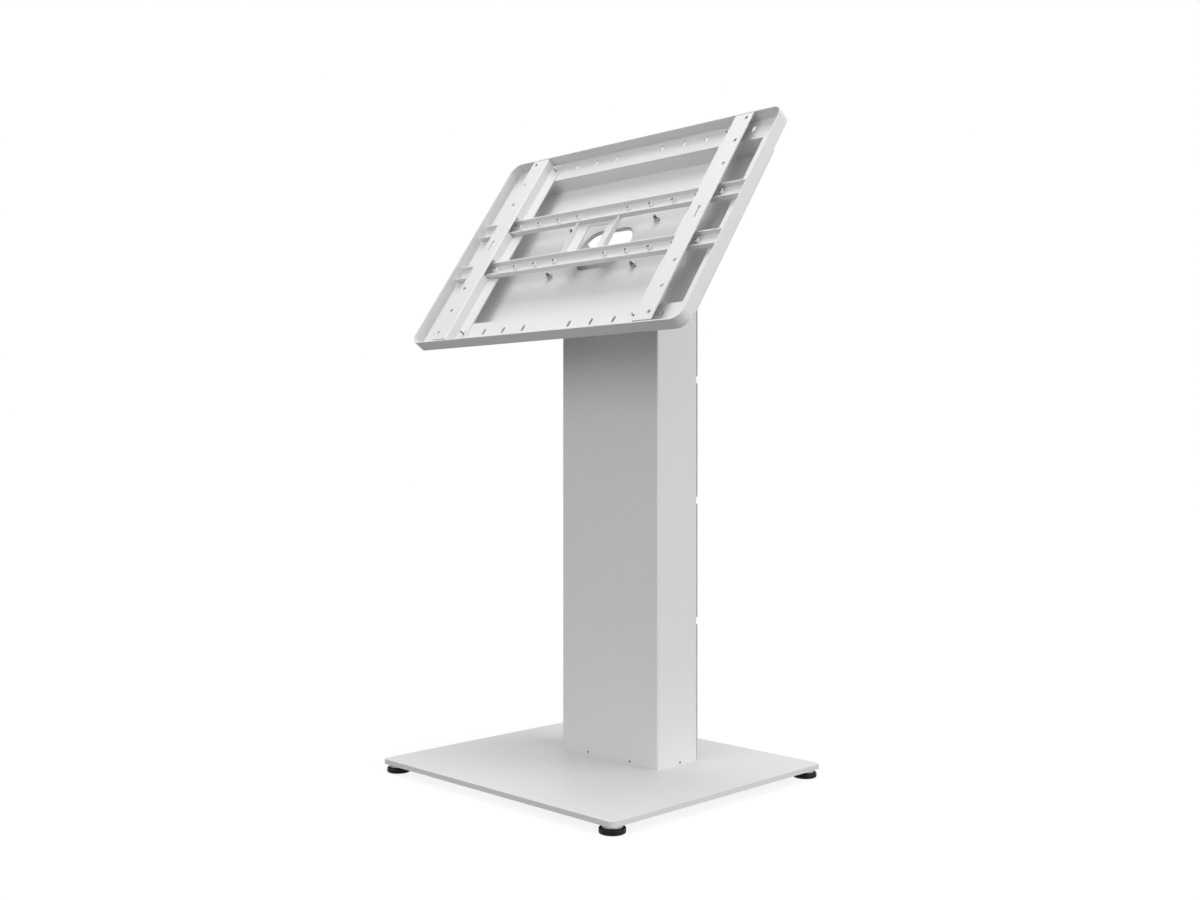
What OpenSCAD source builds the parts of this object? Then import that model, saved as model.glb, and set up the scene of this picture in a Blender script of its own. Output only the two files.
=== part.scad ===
// Screen kiosk stand: a weighted base plate on four levelling feet, a folded sheet column with a
// hook-on rear cover, and a tilted head that holds a flat screen on two upright adapters.
// Origin: middle of the footprint on the floor. +X to the right, +Y to the back, +Z up.

/* [Base] */
// Width of the base plate
base_w = 550; // [500:5:700]
// Depth of the base plate
base_d = 500; // [460:5:600]
// Thickness of the base plate
base_t = 8; // [6:0.5:12]
// Corner radius of the base plate
base_r = 10; // [4:1:20]

/* [Feet] */
// Diameter of a foot pad
pad_dia = 40; // [34:1:44]
// Height of a foot pad
pad_h = 9; // [8:0.5:14]
// Rounding of the pad's edges
pad_round = 2.5; // [1:0.25:3]
// Distance from the plate's edges to the middle of a foot
foot_inset = 20; // [18:1:40]
// Diameter of the welded boss above a pad
boss_dia = 30; // [26:1:32]
// Height of the welded boss
boss_h = 4.7; // [4:0.1:10]
// Diameter of the threaded foot stud
stud_dia = 10; // [8:1:12]
// Depth of the grip groove round a pad
pad_groove = 0.5; // [0.3:0.1:1]
// Chamfer of a foot stud's tip
stud_tip = 1; // [0.5:0.25:2]
// Depth of the stud's blind hole in the base plate
stud_bite = 5; // [3:0.25:5.5]

/* [Column] */
// Width of the column
column_w = 228; // [215:1:245]
// Depth of the column, without its cover
column_d = 98; // [90:1:120]
// Height of the column above the base plate
column_h = 870; // [700:5:1000]
// Distance from the middle of the base back to the column's front face
column_setback = 20; // [0:1:60]
// Width of the flanges turned in at the column's back
return_w = 18; // [16:1:30]
// Thickness of the foot plate inside the column
foot_plate_t = 8; // [7:0.5:12]
// Distance from the middle to each front foot screw
foot_screw_front = 50; // [30:1:70]
// Distance from the column's front face to each side foot screw
foot_screw_side = 55; // [25:1:70]
// Diameter of the floor cable hole through the base plate and the foot plate
floor_hole = 50; // [30:1:56]

/* [Rear cover] */
// Thickness of the rear cover
cover_t = 1.5; // [1:0.25:3]
// Space between the cover's ends and the column's ends
cover_end = 2; // [1:0.5:6]
// Height of the lowest hook above the base plate
hook_low = 231; // [150:1:300]
// Distance from one hook to the next
hook_pitch = 204; // [120:1:220]
// Number of hooks on each side
hook_count = 3; // [2:1:3]
// Height of a hook
hook_h = 12; // [8:1:20]
// Drop of a hook's nose behind its slot
hook_drop = 6; // [4:0.5:8]
// Depth of a hook's nose
hook_nose = 3; // [2:0.5:5]
// Width of the cable exit at the cover's foot
exit_w = 60; // [40:1:90]
// Height of the cable exit
exit_h = 26; // [18:1:40]

/* [Head] */
// Angle of the screen from level
tilt = 55; // [50:1:62]
// Distance from the column's front face forward to the head's middle
head_reach = 37; // [30:1:45]
// Height of the head's middle above the column's top
head_rise = 13; // [8:1:20]
// Half height of the bracket plate
bracket_reach = 72; // [66:1:78]
// Thickness of the head bracket
bracket_t = 3; // [2:0.5:4]
// Depth of the bracket's cheeks inside the column
cheek_drop = 125; // [100:1:160]
// Distance from the column's top down to the bracket screws
cheek_screw_drop = 111; // [60:1:115]
// Distance from the column's faces to the bracket screws
cheek_screw_inset = 12; // [10:0.5:25]

/* [Tray] */
// Width of the tray
tray_w = 638; // [610:2:700]
// Height of the tray along its slope
tray_h = 432; // [430:1:460]
// Distance from the screen's centre to the tray's lower edge
tray_low = 219; // [214:1:222]
// Depth of the tray's rim in front of its flange
rim_d = 20; // [19:0.5:30]
// Corner radius of the tray
tray_r = 20; // [8:1:28]
// Thickness of the folded sheets
sheet_t = 2; // [1.5:0.25:2.5]
// Inner radius of the bends
bend_r = 1; // [0.5:0.25:1.5]
// Distance from the middle to the first slot
slot_start = 55; // [50:1:60]
// Distance from one slot to the next
slot_pitch = 50; // [48:1:52]
// Number of slots on each side of the middle
slot_count = 5; // [4:1:5]
// Distance that the rows of slots lie above the rows of adapter screws
slot_rise = 2; // [0:0.5:2]
// Length of a slot
slot_l = 13; // [10:0.5:16]
// Width of a slot
slot_w = 6; // [5.5:0.25:8]
// Diameter of the small holes at the tray's lower corners
corner_hole = 4; // [3:0.5:6]
// Distance from the tray's side edges to the corner holes
corner_inset = 22; // [16:1:28]

/* [Back box] */
// Width inside the back box
box_w = 572; // [560:1:590]
// Height inside the back box
box_h = 336; // [320:1:345]
// Depth of the back box behind the tray's front face
box_d = 29; // [24:1:45]
// Corner radius inside the back box
box_r = 2; // [1:0.5:8]
// Width of the cable window
window_w = 118; // [100:1:130]
// Height of the cable window
window_h = 90; // [70:1:96]
// Corner radius of the cable window
window_r = 31; // [15:1:34]
// Edge of the bracket plate that shows inside the window
window_step = 3; // [1:0.5:5]
// Distance from the bracket's cheeks in to the head bolts
bolt_inset = 9; // [8:0.5:16]
// Distance between the head bolts along the slope
bolt_span_y = 100; // [94:1:110]

/* [Rails] */
// Distance between the two rails
rail_span = 100; // [90:1:110]
// Width of a rail
rail_w = 30; // [26:1:32]
// Depth of a rail
rail_d = 11; // [9:0.5:13]
// Space between a rail's end and the rim
rail_end = 5; // [1:0.5:10]
// Distance from the middle to the first nut
nut_start = 60; // [54:1:64]
// Distance from one rail nut to the next
nut_pitch = 50; // [46:1:54]
// Number of nuts on each side of the middle
nut_count = 5; // [3:1:5]
// Diameter of a pressed nut
nut_dia = 8; // [7:0.5:10]
// Height of a pressed nut above the rail's web
nut_h = 8; // [6:0.5:8.5]
// Diameter of a pressed nut's shank in the rail's web
nut_shank = 7; // [6:0.5:9]
// Diameter of a pressed nut's thread
nut_bore = 5; // [4:0.25:5.5]
// Width of the bridge between the rails
bridge_w = 100; // [90:1:104]
// Depth of the bridge's side legs
bridge_d = 10; // [6:0.5:11]
// Width of the bridge's cut-out
bridge_hole_w = 48; // [36:1:60]
// Height of the bridge's cut-out
bridge_hole_h = 54; // [36:1:56]

/* [Screen adapters] */
// Number of slots between the middle and the one that an adapter is fixed in
inner_slot_count = 3; // [2:1:3]
// Distance from the fixing screws out to the screen holes
vesa_offset = 45; // [40:1:50]
// Pitch of the screen holes
vesa_pitch = 50; // [45:5:50]
// Diameter of the screen holes
vesa_hole = 7; // [5:0.5:9]
// Width of the adapter's front flange
adapter_front_w = 39; // [37:1:46]
// Width of the adapter's back flange
adapter_back_w = 26; // [22:1:28]
// Distance from the back flange's edge to the fixing screws
adapter_edge = 7; // [6:0.5:9]
// Space between an adapter's ends and the rim
adapter_end = 1.8; // [1.8:0.1:4]
// Space round a rail in the adapter's cut-outs
notch_gap = 3; // [2:0.5:6]
// Length of the hanging slot
hang_l = 24; // [16:1:30]
// Width of the hanging slot
hang_w = 2.6; // [2:0.2:4]
// Diameter of the hanging slot's round end
hang_dia = 5; // [4.5:0.5:7]
// Distance from the screen holes in to the hanging slot
hang_offset = 5; // [4:0.5:8]
// Diameter of the small hole beside each adapter screw
pilot_dia = 3; // [2:0.25:4]
// Distance from an adapter screw up to its small hole
pilot_rise = 6; // [5.5:0.5:8]

/* [Fasteners] */
// Diameter of the adapter screws
screw_dia = 5; // [4:0.25:5]
// Length of an adapter screw in front of the tray
screw_out = 12; // [8:0.5:15]
// Diameter of the adapter screws' heads
screw_head = 10; // [9:0.5:12]
// Diameter of the head bolts
bolt_dia = 6; // [5:0.5:8]
// Width across flats of the head nuts
bolt_flats = 10; // [9:0.5:13]
// Height of the head nuts
bolt_nut_h = 5; // [4:0.5:6.5]
// Length of a head bolt past its nut
bolt_out = 5; // [2:0.5:8]
// Thickness of the head washers
washer_t = 1.2; // [0.8:0.1:2]
// Diameter of the base bolts
base_bolt = 8; // [6:0.5:10]
// Width across flats of the base nuts
base_flats = 13; // [12:0.5:17]
// Diameter of the bracket screws
cheek_screw = 5; // [4:0.25:6]
// Diameter of the foot screws
foot_screw = 4; // [3:0.25:5]
// Length of the foot screws
foot_screw_l = 12; // [8:1:16]
// Depth of the foot and bracket screws' outer ends below the column's faces
screw_recess = 0.5; // [0.2:0.1:1]
// Length of a base bolt past its nut
base_out = 2; // [1:0.5:4]

/* [Clearances] */
// Gap between pieces that move past each other
move_gap = 0.3; // [0.3:0.05:0.4]
// Gap on the radius of a screw in its hole
fit_gap = 0.05; // [0.03:0.01:0.09]
// Gap between pieces that are fixed together
seat_gap = 0.2; // [0.1:0.05:0.3]
// Gap on the radius of a bolt in a clearance hole
bolt_gap = 0.3; // [0.2:0.05:0.5]

/* [Hidden] */

$fn = 48;
// Small overlap that keeps cuts clean
eps = 0.1;
paint = [0.90, 0.90, 0.90];
steel = [0.62, 0.63, 0.64];
rubber = [0.05, 0.05, 0.05];
black_steel = [0.16, 0.16, 0.17];

plate_z = pad_h + move_gap + boss_h;
base_top = plate_z + base_t;
column_top = base_top + column_h;
column_back = column_setback + column_d;
foot_x = base_w / 2 - foot_inset;
foot_y = base_d / 2 - foot_inset;
stud_top = plate_z + stud_bite;

head_y = column_setback - head_reach;
head_z = column_top + head_rise;
tray_mid = tray_h / 2 - tray_low;
panel_front = -box_d;
panel_back = -box_d - sheet_t;
bracket_back = panel_back - bracket_t;
bend = bend_r + sheet_t;

rail_len = tray_w - 2 * sheet_t - 2 * rail_end;
rail_y = rail_span / 2;
adapter_screw_x = slot_start + inner_slot_count * slot_pitch;
adapter_x0 = adapter_screw_x - adapter_edge;
vesa_x = adapter_screw_x + vesa_offset;
// Rows of screen holes on each side of the middle, counted in steps of vesa_pitch
vesa_rows = [2, 3, 4];
adapter_len = tray_h - 2 * sheet_t - 2 * adapter_end;
// The adapter screws sit halfway up the tray's flanges
screw_y = (box_h + tray_h) / 4;
cheek_out = column_w / 2 - sheet_t - seat_gap;
cheek_top = bracket_reach - bracket_t;
bolt_x = cheek_out - bracket_t - bolt_inset;
bolt_y = bolt_span_y / 2;
foot_plate_x = column_w / 2 - sheet_t - seat_gap;
foot_plate_y0 = column_setback + sheet_t + seat_gap;
foot_plate_y1 = column_back - sheet_t - seat_gap;
base_bolt_x = foot_plate_x - 2 * base_flats;
base_bolt_y = [foot_plate_y0 + 1.3 * base_flats, foot_plate_y1 - 1.3 * base_flats];
hook_x = column_w / 2 - return_w / 2;
notch_edge = 4;

// A point of the head, given along the slope and square to it, as [y, z] of the stand
function head_point(u, n) =
    [head_y + u * cos(tilt) - n * sin(tilt), head_z + u * sin(tilt) + n * cos(tilt)];

// Places its children in the head's own frame: x across, y up the slope, z out of the screen
module on_head() {
    translate([0, head_y, head_z]) rotate([tilt, 0, 0]) children();
}

module rounded_rect(w, h, r) {
    square([w - 2 * r, h], center = true);
    square([w, h - 2 * r], center = true);
    for (x = [-1, 1], y = [-1, 1])
        translate([x * (w / 2 - r), y * (h / 2 - r)]) circle(r);
}

// A slot outline with round ends, standing along y
module slot_outline(w, l) {
    square([w, l - w], center = true);
    for (s = [-1, 1]) translate([0, s * (l - w) / 2]) circle(d = w);
}

module quarter_ring(r, t) {
    intersection() {
        difference() {
            circle(r + t);
            circle(r);
        }
        square(r + t);
    }
}

// A folded sheet seen on its edge: straight legs [length, turn], turn 1 left, -1 right, 0 end
module folded_strip(legs, t, r, i = 0) {
    l = legs[i][0];
    turn = legs[i][1];
    square([l, t]);
    if (turn == 1) {
        translate([l, t + r]) rotate(-90) quarter_ring(r, t);
        translate([l + r + t, t + r]) rotate(90) folded_strip(legs, t, r, i + 1);
    }
    if (turn == -1) {
        translate([l, -r]) quarter_ring(r, t);
        translate([l + r, -r]) rotate(-90) folded_strip(legs, t, r, i + 1);
    }
}

// A channel seen on its end: web of width w on the x axis, flanges of depth d up
module channel_outline(w, d) {
    legs = [[d - bend, 1], [w - 2 * bend, 1], [d - bend, 0]];
    translate([-w / 2, d]) rotate(-90) folded_strip(legs, sheet_t, bend_r);
}

module hex_prism(flats, h) {
    cylinder(d = flats / cos(30), h = h, $fn = 6);
}

module at_feet() {
    for (x = [-1, 1], y = [-1, 1]) translate([x * foot_x, y * foot_y, 0]) children();
}

module at_base_bolts() {
    for (x = [-1, 1], y = base_bolt_y) translate([x * base_bolt_x, y, 0]) children();
}

// Places its children just under height z on the axis of the floor cable hole
module at_floor_hole(z) {
    translate([0, (foot_plate_y0 + foot_plate_y1) / 2, z - eps]) children();
}

module at_head_bolts() {
    on_head() for (x = [-1, 1], y = [-1, 1])
        translate([x * bolt_x, y * bolt_y, 0]) children();
}

module base_plate() {
    shank = base_bolt / 2 + bolt_gap;
    color(paint) difference() {
        translate([0, 0, plate_z]) linear_extrude(base_t) rounded_rect(base_w, base_d, base_r);
        at_feet() translate([0, 0, plate_z - eps])
            cylinder(d = stud_dia + 2 * fit_gap, h = stud_bite + move_gap + eps);
        at_floor_hole(plate_z) cylinder(d = floor_hole, h = base_t + 2 * eps);
        at_base_bolts() {
            translate([0, 0, plate_z - eps]) cylinder(r = shank, h = base_t + 2 * eps);
            translate([0, 0, plate_z - eps])
                cylinder(r1 = base_bolt + bolt_gap + eps, r2 = shank, h = base_bolt / 2 + eps);
        }
    }
}

module foot_bosses() {
    color(paint) at_feet() translate([0, 0, pad_h + move_gap]) difference() {
        cylinder(d = boss_dia, h = boss_h);
        translate([0, 0, -eps]) cylinder(d = stud_dia + 2 * fit_gap, h = boss_h + 2 * eps);
    }
}

// A turned pad: flat below, rounded at both edges, with a grip groove round its side
module foot_pad(x, y) {
    color(rubber) translate([x * foot_x, y * foot_y, 0]) difference() {
        union() {
            rotate_extrude() difference() {
                union() {
                    square([pad_dia / 2 - pad_round, pad_h]);
                    translate([0, pad_round]) square([pad_dia / 2, pad_h - 2 * pad_round]);
                    for (z = [pad_round, pad_h - pad_round])
                        translate([pad_dia / 2 - pad_round, z]) circle(pad_round);
                }
                translate([pad_dia / 2, pad_h / 2]) circle(pad_groove);
            }
        }
        translate([0, 0, pad_h / 2]) cylinder(d = stud_dia, h = pad_h);
    }
}

module foot_stud(x, y) {
    color(steel) translate([x * foot_x, y * foot_y, pad_h / 2]) {
        cylinder(d = stud_dia, h = stud_top - pad_h / 2 - stud_tip);
        translate([0, 0, stud_top - pad_h / 2 - stud_tip])
            cylinder(d1 = stud_dia, d2 = stud_dia - 2 * stud_tip, h = stud_tip);
    }
}

module foot_pad_front_left() foot_pad(-1, -1);
module foot_pad_front_right() foot_pad(1, -1);
module foot_pad_rear_left() foot_pad(-1, 1);
module foot_pad_rear_right() foot_pad(1, 1);
module foot_stud_front_left() foot_stud(-1, -1);
module foot_stud_front_right() foot_stud(1, -1);
module foot_stud_rear_left() foot_stud(-1, 1);
module foot_stud_rear_right() foot_stud(1, 1);

// Places its children at each bracket screw, with the screw's axis along x
module at_cheek_screws() {
    for (y = [column_setback + cheek_screw_inset, column_back - cheek_screw_inset], s = [-1, 1])
        translate([0, y, column_top - cheek_screw_drop]) rotate([0, s * 90, 0]) children();
}

// Places its children at each foot screw's outer end, with the z axis pointing into the column
module at_foot_screws() {
    mid = base_top + foot_plate_t / 2;
    for (s = [-1, 1]) {
        translate([s * foot_screw_front, column_setback, mid]) rotate([-90, 0, 0]) children();
        translate([s * column_w / 2, column_setback + foot_screw_side, mid])
            rotate([0, -s * 90, 0]) children();
    }
}

// Places its children at each cover hook
module at_hooks() {
    for (i = [0 : hook_count - 1], s = [-1, 1])
        translate([s * hook_x, column_back, base_top + hook_low + i * hook_pitch]) children();
}

module column_shell() {
    legs = [
        [return_w - bend, 1], [column_d - 2 * bend, 1], [column_w - 2 * bend, 1],
        [column_d - 2 * bend, 1], [return_w - bend, 0]
    ];
    color(paint) difference() {
        translate([return_w - column_w / 2, column_back, base_top]) linear_extrude(column_h)
            rotate(180) folded_strip(legs, sheet_t, bend_r);
        at_cheek_screws() cylinder(d = cheek_screw + 2 * fit_gap, h = column_w);
        at_hooks() translate([-cover_t / 2 - move_gap, -sheet_t - eps, -seat_gap])
            cube([cover_t + 2 * move_gap, sheet_t + 2 * eps, hook_h + hook_drop + 2 * seat_gap]);
        at_foot_screws() translate([0, 0, -eps])
            cylinder(d = foot_screw + 2 * fit_gap, h = foot_screw_l);
    }
}

module column_foot_plate() {
    bite = foot_screw_l + move_gap;
    color(paint) difference() {
        translate([-foot_plate_x, foot_plate_y0, base_top])
            cube([2 * foot_plate_x, foot_plate_y1 - foot_plate_y0, foot_plate_t]);
        at_foot_screws() cylinder(d = foot_screw + 2 * fit_gap, h = bite);
        at_floor_hole(base_top) cylinder(d = floor_hole, h = foot_plate_t + 2 * eps);
        at_base_bolts() translate([0, 0, base_top - eps])
            cylinder(d = base_bolt + 2 * bolt_gap, h = foot_plate_t + 2 * eps);
    }
}

module foot_screws() {
    socket = 0.5 * foot_screw;
    color(black_steel) at_foot_screws() difference() {
        translate([0, 0, screw_recess])
            cylinder(d = foot_screw, h = foot_screw_l - screw_recess);
        translate([0, 0, screw_recess - eps]) hex_prism(socket, socket);
    }
}

// A flat cover whose side hooks drop behind the column's turned-in flanges
module column_rear_cover() {
    y0 = column_back + move_gap;
    z0 = base_top + cover_end;
    reach = sheet_t + 2 * move_gap;
    color(paint) {
        difference() {
            translate([-column_w / 2, y0, z0])
                cube([column_w, cover_t, column_h - 2 * cover_end]);
            for (i = [0 : hook_count - 1], s = [-1, 1])
                translate([s * column_w / 2, y0, base_top + hook_low + i * hook_pitch + hook_h / 2])
                    cube([2 * notch_edge, 3 * cover_t, hook_h], center = true);
            translate([-exit_w / 2, y0 - eps, z0 - eps])
                cube([exit_w, cover_t + 2 * eps, exit_h + eps]);
        }
        at_hooks() {
            translate([-cover_t / 2, -reach + move_gap, 0])
                cube([cover_t, reach + eps, hook_h]);
            translate([-cover_t / 2, -reach + move_gap - hook_nose, -hook_drop])
                cube([cover_t, hook_nose + eps, hook_h + hook_drop]);
        }
    }
}

module base_bolts() {
    head_h = base_bolt / 2;
    socket = 0.6 * base_bolt;
    top = base_top + foot_plate_t + 0.8 * base_bolt + base_out;
    color(steel) at_base_bolts() difference() {
        union() {
            translate([0, 0, plate_z]) cylinder(r1 = base_bolt, r2 = base_bolt / 2, h = head_h);
            translate([0, 0, plate_z + head_h - eps])
                cylinder(d = base_bolt, h = top - plate_z - head_h + eps);
        }
        translate([0, 0, plate_z - eps]) hex_prism(socket, head_h);
    }
}

module base_nuts() {
    color(steel) at_base_bolts() translate([0, 0, base_top + foot_plate_t]) difference() {
        hex_prism(base_flats, 0.8 * base_bolt);
        translate([0, 0, -eps]) cylinder(d = base_bolt + 2 * fit_gap, h = base_bolt + 2 * eps);
    }
}

// Side view of a bracket cheek as [y, z] points: it hooks over the column's front wall
module cheek_outline() {
    front = column_setback;
    inside = front + sheet_t + seat_gap;
    over = column_top + seat_gap;
    back = column_back - sheet_t - seat_gap;
    low = head_point(-cheek_top, bracket_back + bracket_t / 2);
    high = head_point(cheek_top, bracket_back + bracket_t / 2);
    polygon([
        low, high, high + [bracket_t, -bracket_t], [back, column_top - 4 * bracket_t],
        [back, column_top - cheek_drop], [inside, column_top - cheek_drop], [inside, over],
        [front - seat_gap, over], [front - seat_gap, over - cheek_top / 2]
    ]);
}

module head_bracket() {
    color(paint) difference() {
        union() {
            on_head() translate([0, 0, bracket_back]) linear_extrude(bracket_t)
                rounded_rect(2 * cheek_out, 2 * bracket_reach, bracket_t);
            for (s = [-1, 1]) translate([s * (cheek_out - bracket_t / 2), 0, 0])
                rotate([90, 0, 90]) translate([0, 0, -bracket_t / 2])
                    linear_extrude(bracket_t) cheek_outline();
        }
        on_head() translate([0, 0, bracket_back - eps]) linear_extrude(bracket_t + 2 * eps)
            rounded_rect(window_w - 2 * window_step, window_h - 2 * window_step,
                window_r - window_step);
        at_head_bolts() translate([0, 0, bracket_back - eps])
            cylinder(d = bolt_dia + 2 * bolt_gap, h = bracket_t + 2 * eps);
        at_cheek_screws() cylinder(d = cheek_screw + 2 * fit_gap, h = column_w);
    }
}

module bracket_screws() {
    socket = 0.5 * cheek_screw;
    tip = cheek_out - 2.5 * bracket_t;
    end = column_w / 2 - screw_recess;
    color(steel) at_cheek_screws() difference() {
        translate([0, 0, tip]) cylinder(d = cheek_screw, h = end - tip);
        translate([0, 0, end - socket]) hex_prism(socket, socket + eps);
    }
}

// The slots for the adapter screws, cut through the tray's flange
module flange_slots() {
    for (i = [0 : slot_count - 1], sx = [-1, 1], sy = [-1, 1])
        translate([sx * (slot_start + i * slot_pitch), sy * screw_y + slot_rise, -sheet_t - eps])
            linear_extrude(sheet_t + 2 * eps) slot_outline(slot_w, slot_l);
}

module tray_frame() {
    corner = [tray_w / 2 - corner_inset, 2 * corner_hole - screw_y];
    color(paint) on_head() difference() {
        translate([0, tray_mid, -sheet_t]) linear_extrude(sheet_t + rim_d)
            rounded_rect(tray_w, tray_h, tray_r);
        translate([0, tray_mid, 0]) linear_extrude(rim_d + eps)
            rounded_rect(tray_w - 2 * sheet_t, tray_h - 2 * sheet_t, tray_r - sheet_t);
        translate([0, 0, -sheet_t - eps]) linear_extrude(sheet_t + 2 * eps)
            rounded_rect(box_w, box_h, box_r);
        flange_slots();
        for (s = [-1, 1]) translate([s * corner[0], corner[1], -sheet_t - eps])
            cylinder(d = corner_hole, h = sheet_t + 2 * eps);
    }
}

module back_box() {
    color(paint) on_head() difference() {
        translate([0, 0, panel_back]) linear_extrude(box_d)
            rounded_rect(box_w + 2 * sheet_t, box_h + 2 * sheet_t, box_r + sheet_t);
        translate([0, 0, panel_front]) linear_extrude(box_d + eps)
            rounded_rect(box_w, box_h, box_r);
        translate([0, 0, panel_back - eps]) linear_extrude(sheet_t + 2 * eps)
            rounded_rect(window_w, window_h, window_r);
        for (x = [-1, 1], y = [-1, 1])
            translate([x * bolt_x, y * bolt_y, panel_back - eps])
                cylinder(d = bolt_dia + 2 * bolt_gap, h = sheet_t + 2 * eps);
    }
}

module head_bolts() {
    head_h = 0.7 * bolt_dia;
    tip = panel_front + washer_t + bolt_nut_h + bolt_out;
    color(steel) at_head_bolts() {
        translate([0, 0, bracket_back - head_h]) hex_prism(bolt_flats, head_h);
        translate([0, 0, bracket_back - eps]) cylinder(d = bolt_dia, h = tip - bracket_back + eps);
    }
}

module head_washers() {
    color(steel) at_head_bolts() translate([0, 0, panel_front]) difference() {
        cylinder(d = 2 * bolt_dia, h = washer_t);
        translate([0, 0, -eps]) cylinder(d = bolt_dia + 2 * bolt_gap, h = washer_t + 2 * eps);
    }
}

module head_nuts() {
    color(steel) at_head_bolts() translate([0, 0, panel_front + washer_t]) difference() {
        hex_prism(bolt_flats, bolt_nut_h);
        translate([0, 0, -eps]) cylinder(d = bolt_dia + 2 * fit_gap, h = bolt_nut_h + 2 * eps);
    }
}

// Places its children at each pressed nut of the rail at height y
module at_rail_nuts(y) {
    on_head() for (i = [0 : nut_count - 1], s = [-1, 1])
        translate([s * (nut_start + i * nut_pitch), y, 0]) children();
}

module rail(y) {
    color(paint) difference() {
        on_head() translate([-rail_len / 2, y, 0]) rotate([90, 0, 90])
            linear_extrude(rail_len) channel_outline(rail_w, rail_d);
        at_rail_nuts(y) translate([0, 0, -eps])
            cylinder(d = nut_shank, h = sheet_t + 2 * eps);
    }
}

module rail_nuts(y) {
    shank = nut_shank - 2 * fit_gap;
    color(steel) at_rail_nuts(y) difference() {
        union() {
            cylinder(d = shank, h = sheet_t + eps);
            translate([0, 0, sheet_t]) cylinder(d = nut_dia, h = nut_h);
        }
        translate([0, 0, -eps]) cylinder(d = nut_bore, h = sheet_t + nut_h + 2 * eps);
    }
}

module rail_upper() rail(rail_y);
module rail_lower() rail(-rail_y);
module rail_upper_nuts() rail_nuts(rail_y);
module rail_lower_nuts() rail_nuts(-rail_y);

module rail_bridge() {
    len = rail_span - rail_w - 2 * seat_gap;
    color(paint) on_head() difference() {
        translate([0, len / 2, 0]) rotate([90, 0, 0])
            linear_extrude(len) channel_outline(bridge_w, bridge_d);
        translate([0, 0, -eps]) linear_extrude(sheet_t + 2 * eps)
            rounded_rect(bridge_hole_w, bridge_hole_h, sheet_t);
    }
}

// A Z-shaped upright on side s: back flange on the tray, wall, front flange for the screen
module adapter(s) {
    legs = [
        [adapter_back_w - bend, 1], [rim_d - 2 * bend, -1], [adapter_front_w - bend, 0]
    ];
    front = rim_d + move_gap - sheet_t - eps;
    through = sheet_t + 2 * eps;
    hang_y = hang_l / 2 - hang_dia / 2;
    color(paint) on_head() difference() {
        translate([0, tray_mid + adapter_len / 2, move_gap]) rotate([90, 0, 0])
            linear_extrude(adapter_len) mirror([s < 0 ? 1 : 0, 0]) translate([adapter_x0, 0])
                folded_strip(legs, sheet_t, bend_r);
        for (i = vesa_rows, y = [-1, 1])
            translate([s * vesa_x, y * i * vesa_pitch, front]) cylinder(d = vesa_hole, h = through);
        translate([s * (vesa_x - hang_offset), 0, front]) {
            linear_extrude(through) slot_outline(hang_w, hang_l);
            translate([0, hang_y, 0]) cylinder(d = hang_dia, h = through);
        }
        for (y = [-1, 1]) {
            translate([s * adapter_screw_x, y * screw_y, move_gap - eps])
                cylinder(d = screw_dia + 2 * fit_gap, h = through);
            translate([s * adapter_screw_x, y * screw_y + pilot_rise, move_gap - eps])
                cylinder(d = pilot_dia, h = through);
            translate([s * (adapter_x0 + adapter_back_w / 2), y * rail_y, (rim_d - bend) / 2])
                cube([adapter_back_w + 2 * sheet_t + 2 * eps, rail_w + 2 * notch_gap, rim_d - bend],
                    center = true);
        }
    }
}

module adapter_screws(s) {
    head_h = 0.5 * screw_dia;
    under = -sheet_t - move_gap;
    color(steel) on_head() for (y = [-1, 1])
        translate([s * adapter_screw_x, y * screw_y, under]) {
            translate([0, 0, -head_h]) cylinder(d = screw_head, h = head_h);
            cylinder(d = screw_dia, h = screw_out - under);
        }
}

module adapter_left() adapter(-1);
module adapter_right() adapter(1);
module adapter_left_screws() adapter_screws(-1);
module adapter_right_screws() adapter_screws(1);

base_plate();
foot_bosses();
foot_pad_front_left();
foot_pad_front_right();
foot_pad_rear_left();
foot_pad_rear_right();
foot_stud_front_left();
foot_stud_front_right();
foot_stud_rear_left();
foot_stud_rear_right();
column_shell();
column_foot_plate();
foot_screws();
column_rear_cover();
base_bolts();
base_nuts();
head_bracket();
bracket_screws();
tray_frame();
back_box();
head_bolts();
head_washers();
head_nuts();
rail_upper();
rail_lower();
rail_upper_nuts();
rail_lower_nuts();
rail_bridge();
adapter_left();
adapter_right();
adapter_left_screws();
adapter_right_screws();
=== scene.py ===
"""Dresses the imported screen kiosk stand: finishes, cut threads, floor, light and camera."""

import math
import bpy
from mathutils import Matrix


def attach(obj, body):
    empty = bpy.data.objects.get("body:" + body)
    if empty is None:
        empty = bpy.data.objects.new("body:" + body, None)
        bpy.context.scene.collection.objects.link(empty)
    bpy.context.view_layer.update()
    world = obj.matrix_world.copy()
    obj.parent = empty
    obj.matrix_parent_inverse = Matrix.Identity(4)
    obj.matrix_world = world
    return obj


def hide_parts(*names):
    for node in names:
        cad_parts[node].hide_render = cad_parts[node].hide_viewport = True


bl_info = {
    "name": "Screen kiosk stand",
    "version": (1, 0, 0),
    "blender": (4, 5, 0),
    "location": "View3D > Sidebar > Kiosk stand",
    "description": "Finishes and small parts of a floor stand for a flat screen",
    "category": "Object",
}

import bpy
import numpy as np
from mathutils import Vector

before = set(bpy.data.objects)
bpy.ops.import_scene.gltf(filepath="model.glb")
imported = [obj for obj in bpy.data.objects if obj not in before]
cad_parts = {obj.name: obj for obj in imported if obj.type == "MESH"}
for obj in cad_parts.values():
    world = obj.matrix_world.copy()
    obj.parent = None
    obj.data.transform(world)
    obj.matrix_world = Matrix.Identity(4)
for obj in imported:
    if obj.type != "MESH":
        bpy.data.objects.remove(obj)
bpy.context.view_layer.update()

MM = 0.001

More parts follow.
